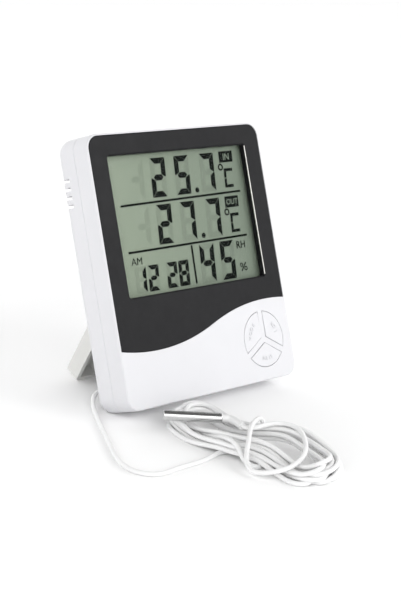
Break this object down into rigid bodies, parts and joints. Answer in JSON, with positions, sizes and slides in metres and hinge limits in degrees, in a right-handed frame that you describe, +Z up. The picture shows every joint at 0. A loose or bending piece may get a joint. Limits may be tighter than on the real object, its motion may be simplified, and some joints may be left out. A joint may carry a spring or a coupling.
{
  "type": "maximum minimum thermometer",
  "caption": "Leaning digital thermometer with maximum and minimum memory, humidity and clock display, fold-out stand and a remote probe on a tied white cord.",
  "frame": {"origin": "middle of the base of the standing case and stand, on the surface that they stand on", "axes": "+X to the viewer's right, +Y from the display towards the stand, +Z up"},
  "size_m": [0.1281, 0.1395, 0.1079],
  "materials": {
    "white_case": "fine satin moulded white plastic",
    "stand_plastic": "satin moulded off-white plastic",
    "button_plastic": "satin moulded white plastic",
    "black_bezel": "semi-gloss charcoal black plastic",
    "clear_lens": "clear acrylic window",
    "lcd_panel": "grey-green liquid crystal panel with dark segments",
    "dark_rubber": "layered conductive rubber",
    "grey_rubber": "soft moulded rubber",
    "green_board": "solder-masked board",
    "black_resin": "black epoxy",
    "bright_metal": "nickel plate",
    "sensor_blue": "moulded sensor shell",
    "brass_disc": "rolled brass",
    "battery_wrap": "printed film with no lettering",
    "screw_steel": "zinc-plated steel",
    "cord_jacket": "soft white vinyl",
    "wire_jacket": "thin vinyl insulation",
    "shrink_sleeve": "white shrink sleeve",
    "probe_steel": "drawn stainless steel, softly polished"
  },
  "bodies": {
    "case": {"front_case": "white_case", "rear_case": "white_case", "display_bezel": "black_bezel", "window_lens": "clear_lens", "lcd_glass": "lcd_panel", "connector_strip": "dark_rubber", "circuit_board": "green_board", "controller_chip": "black_resin", "timing_crystal": "bright_metal", "button_pad": "grey_rubber", "sensor_board": "green_board", "humidity_sensor": "sensor_blue", "indoor_thermistor": "black_resin", "unit_switch": "black_resin", "alarm_buzzer": "brass_disc", "battery_cell": "battery_wrap", "positive_contact": "bright_metal", "negative_contact": "bright_metal", "negative_spring": "bright_metal", "case_screws": "screw_steel", "board_screws": "screw_steel", "cord_grommet": "cord_jacket", "internal_wires": "wire_jacket", "probe_cord": "cord_jacket", "cord_hank": "cord_jacket", "probe_sleeve": "shrink_sleeve", "probe_tip": "probe_steel"},
    "stand": {"stand": "stand_plastic"},
    "battery_door": {"battery_door": "white_case"},
    "mode_button": {"mode_button": "button_plastic"},
    "adjust_button": {"adjust_button": "button_plastic"},
    "memory_button": {"memory_button": "button_plastic"},
    "unit_button": {"unit_button": "button_plastic"}
  },
  "joints": [
    {"name": "stand_hinge", "type": "hinge", "parent": "case", "child": "stand", "pos_m": [0, 0.00527, 0.04465], "axis": [-1, 0, 0], "range_deg": [0, 47.53]},
    {"name": "battery_door_tilt", "type": "hinge", "parent": "case", "child": "battery_door", "pos_m": [0, 0.01067, 0.05304], "axis": [-1, 0, 0], "range_deg": [0, 75]},
    {"name": "mode_button_press", "type": "slide", "parent": "case", "child": "mode_button", "axis": [0, 0.9285, -0.3714], "range_m": [0, 0.0008], "stiffness_N_per_m": 400},
    {"name": "adjust_button_press", "type": "slide", "parent": "case", "child": "adjust_button", "axis": [0, 0.9285, -0.3714], "range_m": [0, 0.0008], "stiffness_N_per_m": 400},
    {"name": "memory_button_press", "type": "slide", "parent": "case", "child": "memory_button", "axis": [0, 0.9285, -0.3714], "range_m": [0, 0.0008], "stiffness_N_per_m": 400},
    {"name": "unit_button_press", "type": "slide", "parent": "case", "child": "unit_button", "axis": [0, -0.9285, 0.3714], "range_m": [0, 0.0008], "stiffness_N_per_m": 400}
  ]
}
